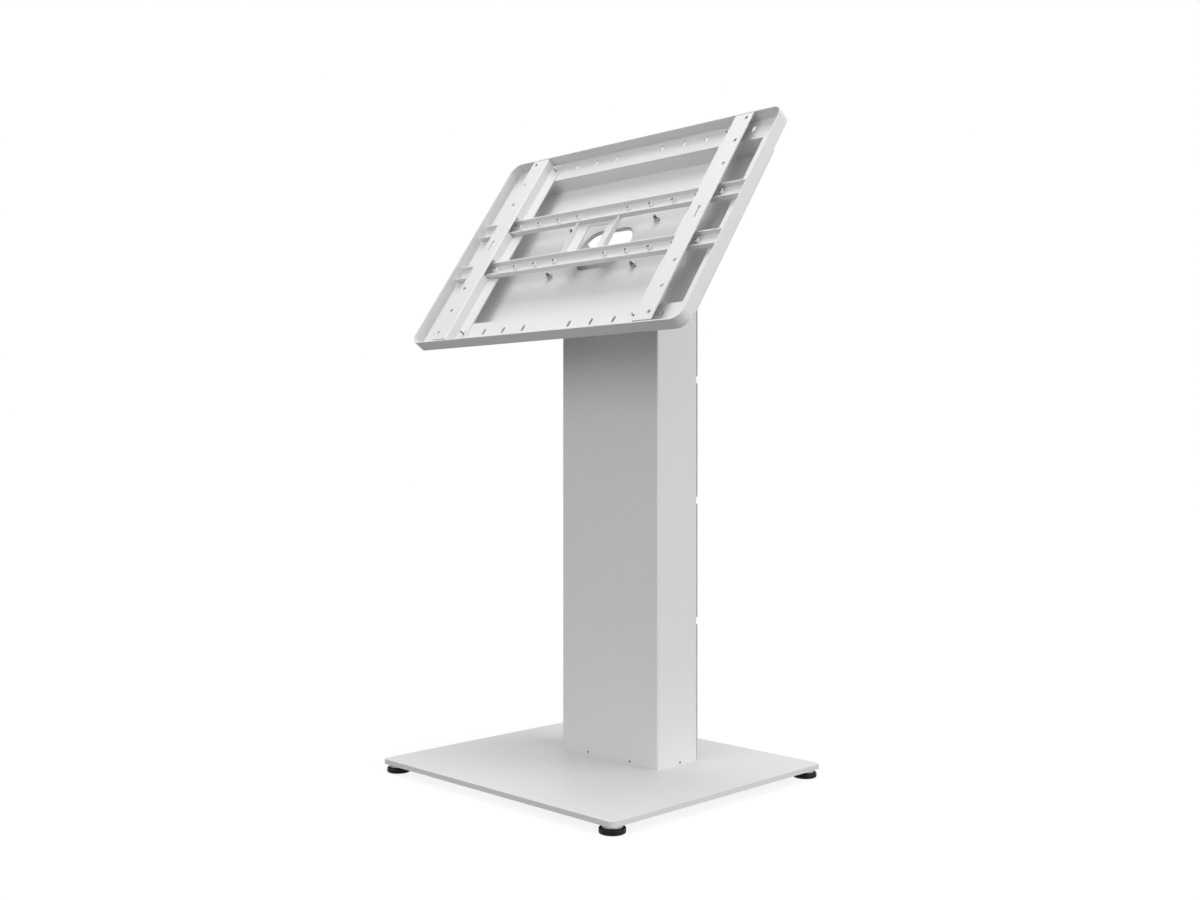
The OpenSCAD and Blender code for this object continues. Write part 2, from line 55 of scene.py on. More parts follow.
PAINTED = (
    "base_plate", "foot_bosses", "column_shell", "column_foot_plate", "column_rear_cover",
    "head_bracket", "tray_frame", "back_box", "rail_upper", "rail_lower", "rail_bridge",
    "adapter_left", "adapter_right",
)
PLATED = ("base_bolts", "base_nuts", "bracket_screws")
BLACKENED = ("foot_screws",)
FOOT_PLACES = ("front_left", "front_right", "rear_left", "rear_right")
SIDES = ("left", "right")

# Axes of a fastener, the third of them along it. The head's slope is 55 degrees from level.
TILT = math.radians(55.0)
HEAD_AXES = np.array([
    [1.0, 0.0, 0.0],
    [0.0, math.cos(TILT), math.sin(TILT)],
    [0.0, -math.sin(TILT), math.cos(TILT)],
])
UPRIGHT_AXES = np.eye(3)

# Angles round a turned piece, as shares of a full turn: twelve to each side of a hexagon
ANGLES = 72
TURN = np.arange(ANGLES) / ANGLES

# A thread's depth, its flats at the crest and the root and the chamfer at the mouth of a
# threaded bore are shares of its pitch
THREAD_DEPTH = 0.61
CREST = 0.125
ROOT = 0.25
MOUTH = 0.5
STEPS_PER_PITCH = 8
INWARD = -1.0
OUTWARD = 1.0

# Painted shade on a thread: its crest compared with its groove, where it is deepest, and its full
# or light strength
CREST_SHADE = 0.4
FULL_THREAD_SHADE = 1.0
LIGHT_THREAD_SHADE = 0.25

# The cone that cuts the corners of a hexagon starts at this share of its least radius and
# drops by this much for each unit of radius
CONE_FACE = 0.95
CONE_SLOPE = 0.55
CONE_STEPS = 5

# Sizes of the adapter screws' heads: depth of socket and rounding as shares of the head's
# height, and width of socket as a share of the shank's width
SOCKET_DEPTH = 0.6
SOCKET_WIDTH = 0.6
SOCKET_BEVEL = 0.2 * MM
CROWN = 0.4
CROWN_STEPS = 7

# The washers' bevel is a share of their thickness. The rail nuts' bevel bulges to the crease.
WASHER_BEVEL = 0.2
RAIL_NUT_BEVEL = 0.4 * MM
RAIL_NUT_CREASE = 0.12 * MM

# Faces that meet at more than this angle have a sharp edge
SHARP_ANGLE = math.radians(40.0)

# Points that are equal to this many decimals of a metre are one corner of a solid, and a point
# lies at a place on the axis when it is this near. A head is what reaches further from the axis
# than this many shank radii.
CORNER_DECIMALS = 6
NEAR = 0.02 * MM
HEAD_REACH = 1.2

# Sockets of the grain group: name, kind and default, and how deep its ripples are at full bump
GRAIN_INPUTS = (
    ("Colour", "NodeSocketColor", (0.8, 0.8, 0.8, 1.0)),
    # The thread shade colour is a painted shade; its default darkens the bores of the coated rail
    # nuts
    ("Thread Colour", "NodeSocketColor", (0.05, 0.05, 0.05, 1.0)),
    ("Grain Scale", "NodeSocketFloat", 900.0),
    ("Drift Scale", "NodeSocketFloat", 6.0),
    ("Colour Drift", "NodeSocketFloat", 0.02),
    ("Roughness", "NodeSocketFloat", 0.5),
    ("Roughness Drift", "NodeSocketFloat", 0.08),
    ("Bump", "NodeSocketFloat", 0.1),
)
GRAIN_OUTPUTS = (
    ("Colour", "NodeSocketColor"),
    ("Roughness", "NodeSocketFloat"),
    ("Normal", "NodeSocketVector"),
)
RIPPLE_DEPTH = 0.2 * MM

# Lamps: setting that holds the power, place, point they aim at and width, in metres
LAMPS = (
    ("right_power", (6.92, 0.0, 1.64), (0.0, 0.0, 0.6), 4.0),
    ("back_power", (4.93, 3.52, 4.12), (0.0, 0.0, 0.6), 4.0),
    ("front_power", (0.0, -3.07, 1.72), (0.0, 0.0, 0.8), 2.2),
    ("corner_power", (1.62, -1.95, 2.75), (0.0, 0.0, 0.8), 2.2),
    ("top_power", (0.0, 0.0, 4.0), (0.0, 0.0, 0.8), 2.2),
)
CAMERA_PLACE = (1.5794, -1.5770, 0.5479)
CAMERA_HEADING = math.radians(45.05)
SENSOR_WIDTH = 36.0

# The floor lies just under the feet. Its shadow fades out between the first two distances from
# the middle, and between the other two the dull floor under the cable hole goes over to white.
FLOOR_HALF = 9.0
FLOOR_LEVEL = -0.2 * MM
SHADOW_FADE = (0.5, 1.3)
HOLE_FADE = (0.11, 0.19)
FLOOR_ROUGHNESS = 0.9
FLOOR_GLOW = 1.03
MATT_WHITE = (0.9, 0.9, 0.9, 1.0)
WHITE = (1.0, 1.0, 1.0, 1.0)


class KioskFinishes(bpy.types.PropertyGroup):
    """Colours and grain of the coat, the zinc, the black oxide and the rubber."""

    coat_colour: bpy.props.FloatVectorProperty(
        name="Coat colour", description="Colour of the powder coat", subtype="COLOR",
        size=3, min=0.0, max=1.0, default=(0.72, 0.72, 0.72))
    coat_roughness: bpy.props.FloatProperty(
        name="Coat roughness", description="Roughness of the powder coat",
        min=0.05, max=1.0, default=0.52, subtype="FACTOR")
    coat_grain: bpy.props.FloatProperty(
        name="Coat grain", description="Size of the ripples in the powder coat",
        min=0.0002, max=0.01, default=0.0011, precision=5, unit="LENGTH")
    zinc_colour: bpy.props.FloatVectorProperty(
        name="Zinc colour", description="Colour of the zinc on the fasteners", subtype="COLOR",
        size=3, min=0.0, max=1.0, default=(0.46, 0.465, 0.47))
    # Colour of the painted shade in thread grooves, bores and tips
    thread_shade_colour: bpy.props.FloatVectorProperty(
        name="Thread shade colour", description="Colour of the painted shade in threads and bores", subtype="COLOR",
        size=3, min=0.0, max=1.0, default=(0.09, 0.09, 0.093))
    black_colour: bpy.props.FloatVectorProperty(
        name="Blackened colour", description="Colour of the blackened foot screws",
        subtype="COLOR", size=3, min=0.0, max=1.0, default=(0.06, 0.06, 0.062))
    rubber_colour: bpy.props.FloatVectorProperty(
        name="Rubber colour", description="Colour of the foot pads", subtype="COLOR",
        size=3, min=0.0, max=1.0, default=(0.004, 0.004, 0.004))


class KioskThreads(bpy.types.PropertyGroup):
    """Pitches of the threads that are cut into the fasteners."""

    bolt_pitch: bpy.props.FloatProperty(
        name="Head bolt pitch", description="Pitch of the head bolts and their nuts",
        min=0.0004, max=0.003, default=0.001, precision=5, unit="LENGTH")
    screw_pitch: bpy.props.FloatProperty(
        name="Screw pitch", description="Pitch of the adapter screws and the pressed rail nuts",
        min=0.0004, max=0.003, default=0.0008, precision=5, unit="LENGTH")
    stud_pitch: bpy.props.FloatProperty(
        name="Stud pitch", description="Pitch of the levelling studs",
        min=0.0004, max=0.003, default=0.0015, precision=5, unit="LENGTH")


class KioskStudio(bpy.types.PropertyGroup):
    """Floor, light and camera of the studio."""

    floor_colour: bpy.props.FloatVectorProperty(
        name="Floor colour", description="Colour of the studio floor for the light it throws back",
        subtype="COLOR", size=3, min=0.0, max=1.0, default=(0.15, 0.15, 0.15))
    right_power: bpy.props.FloatProperty(
        name="Right lamp", description="Power of the large far lamp on the right",
        min=0.0, max=2000.0, default=180.0, unit="POWER")
    back_power: bpy.props.FloatProperty(
        name="Back lamp", description="Power of the large far lamp high behind on the right",
        min=0.0, max=2000.0, default=105.0, unit="POWER")
    front_power: bpy.props.FloatProperty(
        name="Front lamp", description="Power of the lamp in front",
        min=0.0, max=2000.0, default=28.0, unit="POWER")
    corner_power: bpy.props.FloatProperty(
        name="Corner lamp", description="Power of the lamp high in front on the right",
        min=0.0, max=2000.0, default=15.0, unit="POWER")
    top_power: bpy.props.FloatProperty(
        name="Top lamp", description="Power of the lamp above",
        min=0.0, max=2000.0, default=75.0, unit="POWER")
    sky_strength: bpy.props.FloatProperty(
        name="Sky strength", description="Strength of the even light from all sides",
        min=0.0, max=4.0, default=0.345)
    shadow_share: bpy.props.FloatProperty(
        name="Shadow share", description="How much of the stand's shadow the white floor shows",
        min=0.0, max=1.0, default=0.15, subtype="FACTOR")
    lens: bpy.props.FloatProperty(
        name="Lens", description="Focal length of the camera",
        min=10.0, max=200.0, default=39.586, unit="CAMERA")


class TurnedSolid:
    """Sizes of a round or six-sided solid, measured from its points along three axes. Start and
    end are its places on the third axis, bore and width its least distance from that axis and
    its least size across it. Along and reach are every point's place on the axis and its
    distance from it."""

    def __init__(self, points, axes):
        local = points @ axes.T
        low = local.min(axis=0)
        high = local.max(axis=0)
        self.axes = axes
        self.middle = (low + high) / 2
        self.start = low[2]
        self.end = high[2]
        self.along = local[:, 2]
        self.reach = np.hypot(local[:, 0] - self.middle[0], local[:, 1] - self.middle[1])
        self.bore = self.reach.min()
        self.width = (high - low)[:2].min()

    def reach_at(self, place):
        """Largest distance from the axis among the points at this place along it."""
        return self.reach[np.abs(self.along - place) < NEAR].max()

    def first_beyond(self, radius):
        """First place along the axis of a point that lies further from it than the radius."""
        return self.along[self.reach > radius].min()

    def last_beyond(self, radius):
        """Last place along the axis of a point that lies further from it than the radius."""
        return self.along[self.reach > radius].max()


def placed_points(node):
    """The points of a CAD node's mesh in the shared frame, one a row."""
    points = np.empty(3 * len(node.data.vertices))
    node.data.vertices.foreach_get("co", points)
    placed = np.array(node.matrix_world)
    return points.reshape(-1, 3) @ placed[:3, :3].T + placed[:3, 3]


def solid_labels(node, points):
    """A label for each point of a node, the same for all points of one solid. Points at one
    place are one corner, and each corner takes the lowest label among the corners that edges
    join it to, until no label changes."""
    ends = np.empty(2 * len(node.data.edges), dtype=np.int64)
    node.data.edges.foreach_get("vertices", ends)
    places = np.round(points, CORNER_DECIMALS)
    corner = np.unique(places, axis=0, return_inverse=True)[1].reshape(-1)
    first, second = corner[ends].reshape(-1, 2).T
    label = np.arange(corner.max() + 1)
    settled = False
    while not settled:
        before = label.copy()
        lowest = np.minimum(label[first], label[second])
        np.minimum.at(label, first, lowest)
        np.minimum.at(label, second, lowest)
        settled = np.array_equal(before, label)
    return label[corner]


def measured_solids(name, axes):
    """The separate solids of a CAD node, measured along the axes."""
    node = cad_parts[name]
    points = placed_points(node)
    label = solid_labels(node, points)
    return [TurnedSolid(points[label == own], axes) for own in np.unique(label)]


def by_corner(solids):
    """Corner name and solid for fasteners at the corners of the head. Upper is further up the
    slope than their mean, and right is the side where the first axis points."""
    mean = np.mean([solid.middle[1] for solid in solids])
    for solid in solids:
        height = "upper" if solid.middle[1] > mean else "lower"
        side = "right" if solid.middle[0] > 0 else "left"
        yield height + "_" + side, solid


def path(radius, place, dark=0.0):
    """Stations of a path round an axis: radius, place along the axis and darkness of the painted
    shade, for every station and angle. Each is given as a number, a row of angles or a column of
    stations."""
    return np.stack(np.broadcast_arrays(radius, place, dark, TURN[None, :])[:3])


def round_path(*stations):
    """A path through the given pairs of radius and place along the axis."""
    radius, place = np.array(stations).T[:, :, None]
    return path(radius, place)


def joined(*paths):
    """One path from several, end to end."""
    return np.concatenate(paths, axis=1)


def six_sided(flats):
    """Radius of a hexagon at every angle: half its width across flats over the cosine of the
    angle from the middle of the nearest flat."""
    side = math.pi / 3
    return flats / 2 / np.cos((TURN * 2 * math.pi) % side - side / 2)


def cone(hexagon, place, way):
    """The chamfer of a hexagon, from its end face at the given place to where its corners are
    whole. The radius is the smaller of the hexagon's and the cone's, so the flats stay. Way is 1
    at the face where the hexagon starts along the axis and -1 at the face where it ends."""
    face = CONE_FACE * hexagon.min()
    drop = np.linspace(0.0, (hexagon.max() - face) * CONE_SLOPE, CONE_STEPS)[:, None]
    return path(np.minimum(hexagon, face + drop / CONE_SLOPE), place + way * drop)


def thread(radius, pitch, start, end, shade=FULL_THREAD_SHADE, way=INWARD):
    """A screw thread from start to end, cut inward on a shank or outward in a bore. The groove is
    a trapezium in the place over the pitch less the share of a turn, so it climbs by one pitch a
    turn, and it fades out within one pitch of both ends. Shade is the strength of the painted
    shade on it, which is deepest in the groove."""
    count = int(round(abs(end - start) / pitch * STEPS_PER_PITCH)) + 1
    place = np.linspace(start, end, count)[:, None]
    to_end = np.minimum(place - min(start, end), max(start, end) - place)
    phase = (place / pitch - TURN) % 1.0
    groove = np.clip((np.abs(2 * phase - 1) - CREST) / (1 - CREST - ROOT), 0.0, 1.0)
    depth = THREAD_DEPTH * pitch * np.minimum(1.0, to_end / pitch) * groove
    # Painted shade, deepest in the groove
    dark = shade * (CREST_SHADE + (1 - CREST_SHADE) * groove)
    return path(radius + way * depth, place, dark)


def threaded_end(radius, pitch, start, end, shade=FULL_THREAD_SHADE):
    """A thread that runs out into a chamfered tip and ends on the axis. The tip carries the
    painted shade of the thread's crest.
    """
    tip = THREAD_DEPTH * pitch
    flat = shade * CREST_SHADE
    return joined(
        thread(radius, pitch, start, end - tip, shade),
        path(radius - tip, end, flat),
        path(0.0, end, flat),
    )


def bolt_path(bolt, pitch):
    """Face, chamfer and flats of a six-sided head, and a threaded shank."""
    head = six_sided(bolt.width)
    shank = bolt.reach_at(bolt.end)
    seat = bolt.last_beyond(HEAD_REACH * shank)
    half_face = CONE_FACE * head.min() / 2
    return joined(
        round_path((0.0, bolt.start), (half_face, bolt.start)),
        cone(head, bolt.start, 1.0),
        path(head, seat),
        round_path((shank, seat)),
        threaded_end(shank, pitch, seat + 2 * pitch, bolt.end),
    )


def washer_path(washer):
    """A closed ring with a small bevel below and a double one above, as a punch leaves them."""
    rim = washer.width / 2
    bore = washer.bore
    bevel = WASHER_BEVEL * (washer.end - washer.start)
    return round_path(
        (bore, washer.start),
        (rim - bevel, washer.start),
        (rim, washer.start + bevel),
        (rim, washer.end - 2 * bevel),
        (rim - 2 * bevel, washer.end),
        (bore + bevel, washer.end),
        (bore, washer.end - bevel),
    )


def nut_path(nut, pitch):
    """A closed path round a six-sided nut, with both ends chamfered and its bore threaded and
    darkened with painted shade.
    """
    sides = six_sided(nut.width)
    mouth = MOUTH * pitch
    return joined(
        round_path((nut.bore + mouth, nut.start)),
        cone(sides, nut.start, 1.0),
        cone(sides, nut.end, -1.0)[:, ::-1],
        round_path((nut.bore + mouth, nut.end)),
        thread(nut.bore, pitch, nut.end - mouth, nut.start + mouth, way=OUTWARD),
    )


def socket_screw_path(screw, pitch):
    """A six-sided socket, a head whose edge is a quarter of a circle, and a thread with light
    painted shade.
    """
    rim = screw.width / 2
    shank = screw.reach_at(screw.end)
    seat = screw.last_beyond(HEAD_REACH * shank)
    height = seat - screw.start
    socket = six_sided(SOCKET_WIDTH * 2 * shank)
    floor = screw.start + SOCKET_DEPTH * height
    bend = np.linspace(0.0, math.pi / 2, CROWN_STEPS)[:, None]
    crown = CROWN * height
    return joined(
        path(0.0, floor),
        path(socket, floor),
        path(socket, screw.start + SOCKET_BEVEL),
        round_path((socket.max() + SOCKET_BEVEL, screw.start)),
        path(rim - crown * (1 - np.sin(bend)), screw.start + crown * (1 - np.cos(bend))),
        round_path((rim, seat), (shank, seat)),
        threaded_end(shank, pitch, seat + pitch, screw.end, LIGHT_THREAD_SHADE),
    )


def rail_nut_path(nut, pitch):
    """A closed path round a pressed nut: thin shank, shoulder, bevelled barrel, threaded bore
    darkened with painted shade.
    """
    rim = nut.width / 2
    shank = nut.reach_at(nut.start)
    shoulder = nut.first_beyond(rim - NEAR)
    mouth = MOUTH * pitch
    return joined(
        round_path(
            (nut.bore + mouth, nut.start),
            (shank, nut.start),
            (shank, shoulder),
            (rim, shoulder),
            (rim, nut.end - RAIL_NUT_BEVEL),
            (rim - RAIL_NUT_CREASE, nut.end - RAIL_NUT_CREASE),
            (rim - RAIL_NUT_BEVEL, nut.end),
            (nut.bore + mouth, nut.end),
        ),
        thread(nut.bore, pitch, nut.end - mouth, nut.start + mouth, way=OUTWARD),
    )


def stud_path(stud, pitch):
    """A plain round foot and a thread with light painted shade up to the tip."""
    radius = stud.width / 2
    return joined(
        round_path((0.0, stud.start), (radius, stud.start)),
        threaded_end(radius, pitch, stud.start + pitch, stud.end, LIGHT_THREAD_SHADE),
    )


def turned_surface(radius, along, solid, closed):
    """Points and faces of a surface of turning. Station i of the path lies at angle j at the
    point centre + radius[i, j] * (cos angle * side + sin angle * up) + along[i, j] * axis. An
    open path starts and ends on the axis, and those two stations become one point each. A closed
    path joins its last station to its first."""
    side, up, axis = solid.axes
    centre = solid.middle[0] * side + solid.middle[1] * up
    angle = 2 * math.pi * TURN[:, None]
    spoke = np.cos(angle) * side + np.sin(angle) * up
    points = (centre + radius[..., None] * spoke + along[..., None] * axis).reshape(-1, 3)
    stations = len(radius)
    bands = stations if closed else stations - 1
    i = np.arange(bands)[:, None]
    j = np.arange(ANGLES)[None, :]
    next_i = (i + 1) % stations
    next_j = (j + 1) % ANGLES
    quads = np.stack([
        i * ANGLES + j,
        i * ANGLES + next_j,
        next_i * ANGLES + next_j,
        next_i * ANGLES + j,
    ], axis=-1).reshape(-1, 4)
    if closed:
        return points, quads.tolist()
    merged_away = ANGLES - 1
    last = (stations - 1) * ANGLES
    index = np.maximum(np.arange(len(points)) - merged_away, 0)
    index[last:] = last - merged_away
    quads = index[quads]
    faces = quads[:ANGLES, [0, 2, 3]].tolist()
    faces += quads[ANGLES:-ANGLES].tolist()
    faces += quads[-ANGLES:, [0, 1, 2]].tolist()
    return np.vstack([points[:1], points[ANGLES:last], points[last:last + 1]]), faces


def plain_mesh(name, points, faces):
    """An object at the origin from an array of points and a list of faces."""
    mesh = bpy.data.meshes.new(name)
    mesh.from_pydata(points.tolist(), [], faces)
    mesh.update()
    made = bpy.data.objects.new(name, mesh)
    bpy.context.scene.collection.objects.link(made)
    return made


def smooth_mesh(name, points, faces):
    """A mesh with its faces outward, smooth but for its sharp edges. The sum of the first corners
    times the cross products of the next two is positive where the faces look outward."""
    corner = points[np.array([face[:3] for face in faces])]
    volume = np.einsum("ij,ij->i", corner[:, 0], np.cross(corner[:, 1], corner[:, 2])).sum()
    if volume < 0:
        faces = [face[::-1] for face in faces]
    made = plain_mesh(name, points, faces)
    made.data.polygons.foreach_set("use_smooth", [True] * len(made.data.polygons))
    made.data.set_sharp_from_angle(angle=SHARP_ANGLE)
    return made


def turned_piece(name, solid, stations, closed=False):
    """A mesh from a path, with the path's darkness, its painted shade, as the value thread at
    every point.
    """
    radius, along, dark = stations
    made = smooth_mesh(name, *turned_surface(radius, along, solid, closed))
    if not closed:
        dark = np.concatenate([dark[0, :1], dark[1:-1].reshape(-1), dark[-1, :1]])
    shade = made.data.attributes.new("thread", "FLOAT", "POINT")
    shade.data.foreach_set("value", dark.reshape(-1).astype(np.float32))
    return made


def fit_piece(piece, node, body, material):
    """Gives a new piece its material and body, in place of a CAD node."""
    piece.data.materials.append(material)
    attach(piece, body)
    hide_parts(node)


def dress(names, material):
    """Gives CAD nodes their material."""
    for name in names:
        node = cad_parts[name]
        node.data.materials.clear()
        node.data.materials.append(material)


def calculated(tree, operation, *values):
    """The result of a Math node on numbers and sockets."""
    node = tree.nodes.new("ShaderNodeMath")
    node.operation = operation
    for taken, value in zip(node.inputs, values):
        if isinstance(value, bpy.types.NodeSocket):
            tree.links.new(value, taken)
        else:
            taken.default_value = value
    return node.outputs["Value"]


def noise(tree, where, scale, detail, roughness):
    """The value of a noise texture at the given place and scale."""
    node = tree.nodes.new("ShaderNodeTexNoise")
    node.inputs["Detail"].default_value = detail
    node.inputs["Roughness"].default_value = roughness
    tree.links.new(where, node.inputs["Vector"])
    tree.links.new(scale, node.inputs["Scale"])
    return node.outputs["Fac"]


def faded(tree, value, limits, low):
    """A value that goes smoothly from low at the first limit to one at the second."""
    node = tree.nodes.new("ShaderNodeMapRange")
    node.interpolation_type = "SMOOTHSTEP"
    node.inputs["From Min"].default_value = limits[0]
    node.inputs["From Max"].default_value = limits[1]
    node.inputs["To Min"].default_value = low
    node.inputs["To Max"].default_value = 1.0
    tree.links.new(value, node.inputs["Value"])
    return node.outputs["Result"]


def mixed(tree, share, first, second):
    """A mix of two shaders: the first where share is nought, the second where it is one."""
    node = tree.nodes.new("ShaderNodeMixShader")
    tree.links.new(share, node.inputs["Fac"])
    tree.links.new(first, node.inputs[1])
    tree.links.new(second, node.inputs[2])
    return node.outputs["Shader"]


def seen_directly(tree):
    """One on what the camera sees itself, in a gloss or through a clear piece, and nought on
    what only lights the stand."""
    rays = tree.nodes.new("ShaderNodeLightPath").outputs
    seen_or_glossy = calculated(tree, "MAXIMUM", rays["Is Camera Ray"], rays["Is Glossy Ray"])
    return calculated(tree, "MAXIMUM", seen_or_glossy, rays["Is Transmission Ray"])


def grain_group():
    """Ripples and slow shade of a coated or moulded surface: fine noise is the height, and wide
    noise moves the colour and the roughness a little to both sides of the given values. Where the
    surface has the value thread, the colour goes over to the thread shade colour, a painted shade
    in thread grooves, bores and tips."""
    group = bpy.data.node_groups.new("surface_grain", "ShaderNodeTree")
    for name, kind, value in GRAIN_INPUTS:
        taken = group.interface.new_socket(name=name, in_out="INPUT", socket_type=kind)
        taken.default_value = value
    for name, kind in GRAIN_OUTPUTS:
        group.interface.new_socket(name=name, in_out="OUTPUT", socket_type=kind)
    nodes = group.nodes
    links = group.links
    given = nodes.new("NodeGroupInput").outputs
    result = nodes.new("NodeGroupOutput").inputs
    where = nodes.new("ShaderNodeTexCoord").outputs["Object"]

    drift = noise(group, where, given["Drift Scale"], detail=4.0, roughness=0.5)
    centred = calculated(group, "SUBTRACT", drift, 0.5)
    shade = calculated(group, "MULTIPLY_ADD", centred, given["Colour Drift"], 1.0)
    tinted = nodes.new("ShaderNodeVectorMath")
    tinted.operation = "SCALE"
    links.new(given["Colour"], tinted.inputs[0])
    links.new(shade, tinted.inputs["Scale"])
    # Painted shade: the value thread darkens thread grooves, bores and tips towards the thread
    # shade colour
    cut = nodes.new("ShaderNodeAttribute")
    cut.attribute_name = "thread"
    thread_shaded = nodes.new("ShaderNodeMix")
    thread_shaded.data_type = "RGBA"
    links.new(cut.outputs["Fac"], thread_shaded.inputs["Factor"])
    links.new(tinted.outputs["Vector"], thread_shaded.inputs["A"])
    links.new(given["Thread Colour"], thread_shaded.inputs["B"])
    links.new(thread_shaded.outputs["Result"], result["Colour"])

    rough = calculated(group, "MULTIPLY_ADD", centred, given["Roughness Drift"],
                       given["Roughness"])
    links.new(rough, result["Roughness"])

    ripples = noise(group, where, given["Grain Scale"], detail=3.0, roughness=0.55)
    bump = nodes.new("ShaderNodeBump")
    bump.inputs["Distance"].default_value = RIPPLE_DEPTH
    links.new(given["Bump"], bump.inputs["Strength"])
    links.new(ripples, bump.inputs["Height"])
    links.new(bump.outputs["Normal"], result["Normal"])
    return group


def shader(name):
    """A new material, its node tree and its Principled BSDF, joined to the output."""
    material = bpy.data.materials.new(name)
    material.use_nodes = True
    tree = material.node_tree
    tree.nodes.clear()
    out = tree.nodes.new("ShaderNodeOutputMaterial")
    bsdf = tree.nodes.new("ShaderNodeBsdfPrincipled")
    tree.links.new(bsdf.outputs["BSDF"], out.inputs["Surface"])
    return material, tree, bsdf


def finish_material(name, grain_values, shader_values):
    """The material of this name, made once. The grain group gives its colour, roughness and
    normal, and every other value is set on the shader itself."""
    if name in bpy.data.materials:
        return bpy.data.materials[name]
    material, tree, bsdf = shader(name)
    grain = tree.nodes.new("ShaderNodeGroup")
    grain.node_tree = bpy.data.node_groups.get("surface_grain") or grain_group()
    for key, value in grain_values.items():
        grain.inputs[key].default_value = value
    for key, value in shader_values.items():
        bsdf.inputs[key].default_value = value
    tree.links.new(grain.outputs["Colour"], bsdf.inputs["Base Color"])
    tree.links.new(grain.outputs["Roughness"], bsdf.inputs["Roughness"])
    tree.links.new(grain.outputs["Normal"], bsdf.inputs["Normal"])
    return material


def coat(context):
    """Light grey powder coat: matt, with a fine ripple."""
    finishes = context.scene.kiosk_finishes
    return finish_material("light_grey_coat", {
        "Colour": (*finishes.coat_colour, 1.0),
        "Roughness": finishes.coat_roughness,
        "Grain Scale": 1.0 / finishes.coat_grain,
        "Bump": 0.12,
    }, {"Metallic": 0.0})


def zinc(context):
    """Bright zinc: metal with small cloudy patches, and painted shade on the threads."""
    finishes = context.scene.kiosk_finishes
    return finish_material("bright_zinc", {
        "Colour": (*finishes.zinc_colour, 1.0),
        "Thread Colour": (*finishes.thread_shade_colour, 1.0),
        "Roughness": 0.34,
        "Grain Scale": 2200.0,
        "Drift Scale": 180.0,
        "Colour Drift": 0.25,
        "Roughness Drift": 0.25,
        "Bump": 0.05,
    }, {"Metallic": 1.0})


def black_oxide(context):
    """Black oxide on steel: half metal, dark and slightly oily."""
    finishes = context.scene.kiosk_finishes
    return finish_material("blackened_steel", {
        "Colour": (*finishes.black_colour, 1.0),
        "Roughness": 0.42,
        "Grain Scale": 2500.0,
        "Drift Scale": 300.0,
        "Bump": 0.08,
    }, {"Metallic": 0.6})


def rubber(context):
    """Black rubber with a fine moulded grain and little gloss."""
    finishes = context.scene.kiosk_finishes
    return finish_material("black_rubber", {
        "Colour": (*finishes.rubber_colour, 1.0),
        "Roughness": 0.42,
        "Grain Scale": 1400.0,
        "Drift Scale": 60.0,
        "Colour Drift": 0.3,
        "Bump": 0.35,
    }, {"Metallic": 0.0, "Specular IOR Level": 0.2})


class KIOSK_OT_coat(bpy.types.Operator):
    """Gives every painted sheet and plate its matt powder coat"""

    bl_idname = "kiosk.coat"
    bl_label = "Powder coat"

    def execute(self, context):
        dress(PAINTED, coat(context))
        return {"FINISHED"}


class KIOSK_OT_plating(bpy.types.Operator):
    """Gives the bolts, nuts and screws inside the column their zinc"""

    bl_idname = "kiosk.plating"
    bl_label = "Zinc plating"

    def execute(self, context):
        dress(PLATED, zinc(context))
        return {"FINISHED"}


class KIOSK_OT_blackening(bpy.types.Operator):
    """Gives the small screws at the column's foot their black oxide"""

    bl_idname = "kiosk.blackening"
    bl_label = "Black oxide"

    def execute(self, context):
        dress(BLACKENED, black_oxide(context))
        return {"FINISHED"}


class KIOSK_OT_feet(bpy.types.Operator):
    """Gives the four foot pads their black rubber"""

    bl_idname = "kiosk.feet"
    bl_label = "Foot pads"

    def execute(self, context):
        dress(["foot_pad_" + place for place in FOOT_PLACES], rubber(context))
        return {"FINISHED"}


class KIOSK_OT_head_bolts(bpy.types.Operator):
    """Cuts the chamfers and threads of the four bolts that hold the head"""

    bl_idname = "kiosk.head_bolts"
    bl_label = "Head bolts"

    def execute(self, context):
        pitch = context.scene.kiosk_threads.bolt_pitch
        for corner, bolt in by_corner(measured_solids("head_bolts", HEAD_AXES)):
            piece = turned_piece("head_bolt_" + corner, bolt, bolt_path(bolt, pitch))
            fit_piece(piece, "head_bolts", "stand", zinc(context))
        return {"FINISHED"}


class KIOSK_OT_head_washers(bpy.types.Operator):
    """Bevels the edges of the four washers on the head bolts"""

    bl_idname = "kiosk.head_washers"
    bl_label = "Head washers"

    def execute(self, context):
        for corner, washer in by_corner(measured_solids("head_washers", HEAD_AXES)):
            stations = washer_path(washer)
            piece = turned_piece("head_washer_" + corner, washer, stations, closed=True)
            fit_piece(piece, "head_washers", "stand", zinc(context))
        return {"FINISHED"}


class KIOSK_OT_head_nuts(bpy.types.Operator):
    """Cuts the chamfers and threads of the four nuts on the head bolts"""

    bl_idname = "kiosk.head_nuts"
    bl_label = "Head nuts"

    def execute(self, context):
        pitch = context.scene.kiosk_threads.bolt_pitch
        for corner, nut in by_corner(measured_solids("head_nuts", HEAD_AXES)):
            stations = nut_path(nut, pitch)
            piece = turned_piece("head_nut_" + corner, nut, stations, closed=True)
            fit_piece(piece, "head_nuts", "stand", zinc(context))
        return {"FINISHED"}


class KIOSK_OT_adapter_screws(bpy.types.Operator):
    """Cuts the sockets and threads of the four screws that fix the adapters"""

    bl_idname = "kiosk.adapter_screws"
    bl_label = "Adapter screws"

    def execute(self, context):
        pitch = context.scene.kiosk_threads.screw_pitch
        for side in SIDES:
            node = "adapter_" + side + "_screws"
            for corner, screw in by_corner(measured_solids(node, HEAD_AXES)):
                stations = socket_screw_path(screw, pitch)
                piece = turned_piece("adapter_screw_" + corner, screw, stations)
                fit_piece(piece, node, "adapter_" + side, zinc(context))
        return {"FINISHED"}


